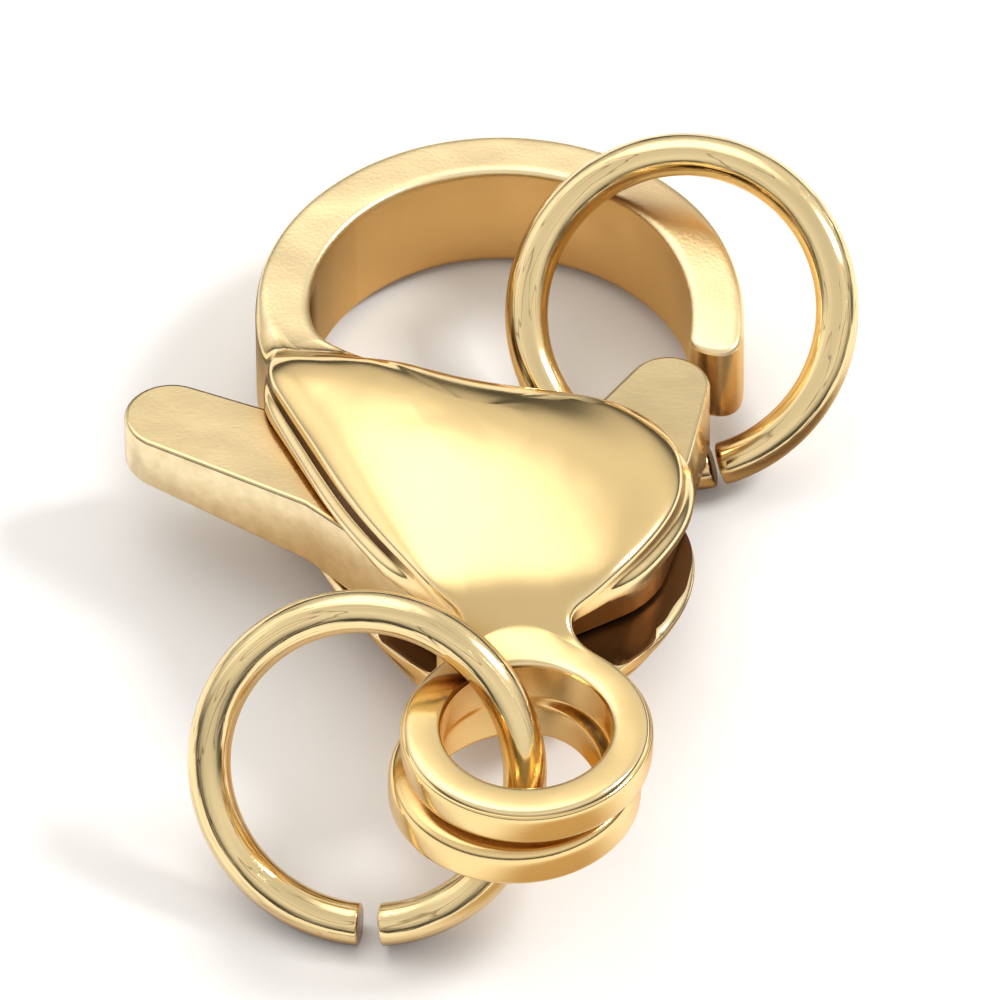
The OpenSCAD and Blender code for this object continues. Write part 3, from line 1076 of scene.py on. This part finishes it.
# Painted reflections: patches of paper tinted near the clasp, seen in mirrored rays only.
REFLECTION_TINTS = [  # middle, inner radius and outer radius in mm, colour
    ((0.6, 1.2, 0), 4.2, 7.6, (0.80, 0.60, 0.37, 1)),
    ((-5.4, 5.2, 0), 1.2, 3.0, (0.16, 0.13, 0.09, 1)),
    ((5.6, -0.6, 0), 1.6, 4.2, (0.14, 0.08, 0.04, 1)),
    ((1.8, -9.0, 0), 1.5, 4.5, (0.50, 0.36, 0.20, 1)),
    # A painted amber shade under the eye's bore, seen only in its reflection.
    ((0.2, -3.4, 0), 0.6, 1.35, (0.62, 0.31, 0.04, 1)),
]
floor_bm = bmesh.new()
bmesh.ops.create_grid(floor_bm, x_segments=1, y_segments=1, size=FLOOR_HALF)
floor_mesh = bpy.data.meshes.new("floor")
floor_bm.to_mesh(floor_mesh)
floor_bm.free()
floor = bpy.data.objects.new("floor", floor_mesh)
bpy.context.scene.collection.objects.link(floor)
floor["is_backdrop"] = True
paper = bpy.data.materials.new("pale paper")
paper.use_nodes = True
tree = paper.node_tree
where = put(tree, "TexCoord").outputs["Object"]
fibres = put(tree, "TexNoise", {"Vector": where, "Scale": FIBRE_SCALE, "Detail": FIBRE_DETAIL})
pale = blended(tree, PAPER_LOW, PAPER_HIGH, fibres.outputs["Fac"])
mirrored = put(tree, "LightPath").outputs["Is Glossy Ray"]
# The paper is tinted near each patch for mirrored rays only: painted reflections.
for at, inner, outer, tint in REFLECTION_TINTS:
    away = put(tree, "VectorMath", {0: where, 1: Vector(at) * MM}, operation="DISTANCE").outputs["Value"]
    reach = {0: away, 1: inner * MM, 2: outer * MM, 3: 1, 4: 0}
    near = put(tree, "MapRange", reach, interpolation_type="SMOOTHSTEP").outputs[0]
    pale = blended(tree, pale, tint, scaled(tree, near, mirrored))
shader = tree.nodes["Principled BSDF"]
tree.links.new(pale, shader.inputs["Base Color"])
shader.inputs["Roughness"].default_value = PAPER_ROUGH
shader.inputs["Specular IOR Level"].default_value = PAPER_SHINE
floor.data.materials.append(paper)

# %% Lamp
KEY_RISE = 44
KEY_TURN = 78
KEY_FAR = 0.40
KEY_SIZE = 0.10
KEY_POWER = 0.90


def heading(rise, turn):
    """A direction from its rise above the floor and its turn to the right of +Y, in degrees."""
    rise, turn = math.radians(rise), math.radians(turn)
    return Vector((math.sin(turn) * math.cos(rise), math.cos(turn) * math.cos(rise), math.sin(rise)))


light = bpy.data.lights.new("key light", "AREA")
light.size = KEY_SIZE
light.energy = KEY_POWER
lamp = bpy.data.objects.new("key light", light)
lamp.location = heading(KEY_RISE, KEY_TURN) * KEY_FAR
lamp.rotation_euler = (-lamp.location).to_track_quat("-Z", "Y").to_euler()
bpy.context.scene.collection.objects.link(lamp)

# %% The pale room
ROOM = [  # height on the sky, brightness
    (0.00, 0.04),
    (0.17, 0.12),
    (0.33, 0.62),
    (0.50, 0.86),
    (0.61, 0.95),
    (0.78, 0.84),
    (1.00, 0.72),
]
GLOWS = [  # rise, turn, inner radius and outer radius in degrees, brightness
    (61, -23, 0, 31, 1.5),
    (20, -68, 6, 34, 0.5),
]
WARMTH = (1, 0.98, 0.95)
world = bpy.data.worlds.new("studio")
bpy.context.scene.world = world
world.use_nodes = True
tree = world.node_tree
sight = put(tree, "TexCoord").outputs["Generated"]
ramp = put(tree, "ValToRGB", {0: put(tree, "SeparateXYZ", {0: sight}).outputs["Z"]})
stops = ramp.color_ramp.elements
while len(stops) < len(ROOM):
    stops.new(0.5)
for stop, (at, grey) in zip(stops, ROOM):
    stop.position = at
    stop.color = (*(grey * part for part in WARMTH), 1)
total = ramp.outputs["Color"]
for rise, turn, inner, outer, strength in GLOWS:
    near = put(tree, "VectorMath", {0: sight, 1: heading(rise, turn)}, operation="DOT_PRODUCT")
    dark, full = (math.cos(math.radians(angle)) for angle in (outer, inner))
    reach = {0: near.outputs["Value"], 1: dark, 2: full, 3: 0, 4: strength}
    glow = put(tree, "MapRange", reach, interpolation_type="SMOOTHSTEP")
    total = put(tree, "VectorMath", {0: total, 1: glow.outputs[0]}, operation="ADD").outputs[0]
tree.links.new(total, tree.nodes["Background"].inputs["Color"])
bpy.context.scene.view_settings.view_transform = "Standard"

# %% Camera
CAMERA_RISE = 45 + math.degrees(lean)
CAMERA_TURN = 2.66
CAMERA_FAR = 0.35
VIEW_WIDTH = 0.0138
SENSOR_WIDTH = 36
CLIP_START = 0.05

back = heading(CAMERA_RISE, CAMERA_TURN + 180)
camera_data = bpy.data.cameras.new("camera")
camera_data.sensor_width = SENSOR_WIDTH
camera_data.lens = SENSOR_WIDTH * CAMERA_FAR / VIEW_WIDTH
camera_data.clip_start = CLIP_START
camera = bpy.data.objects.new("camera", camera_data)
camera.location = (cad_low + cad_high) / 2 + back * CAMERA_FAR
camera.rotation_euler = (-back).to_track_quat("-Z", "Y").to_euler()
bpy.context.scene.collection.objects.link(camera)
bpy.context.scene.camera = camera

# %% Sizes against the solids' box
low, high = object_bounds()
stands_out = (*(cad_low - low), *(high - cad_high))
print("stands out of the solids' box by mm:", [round(1000 * side, 3) for side in stands_out])
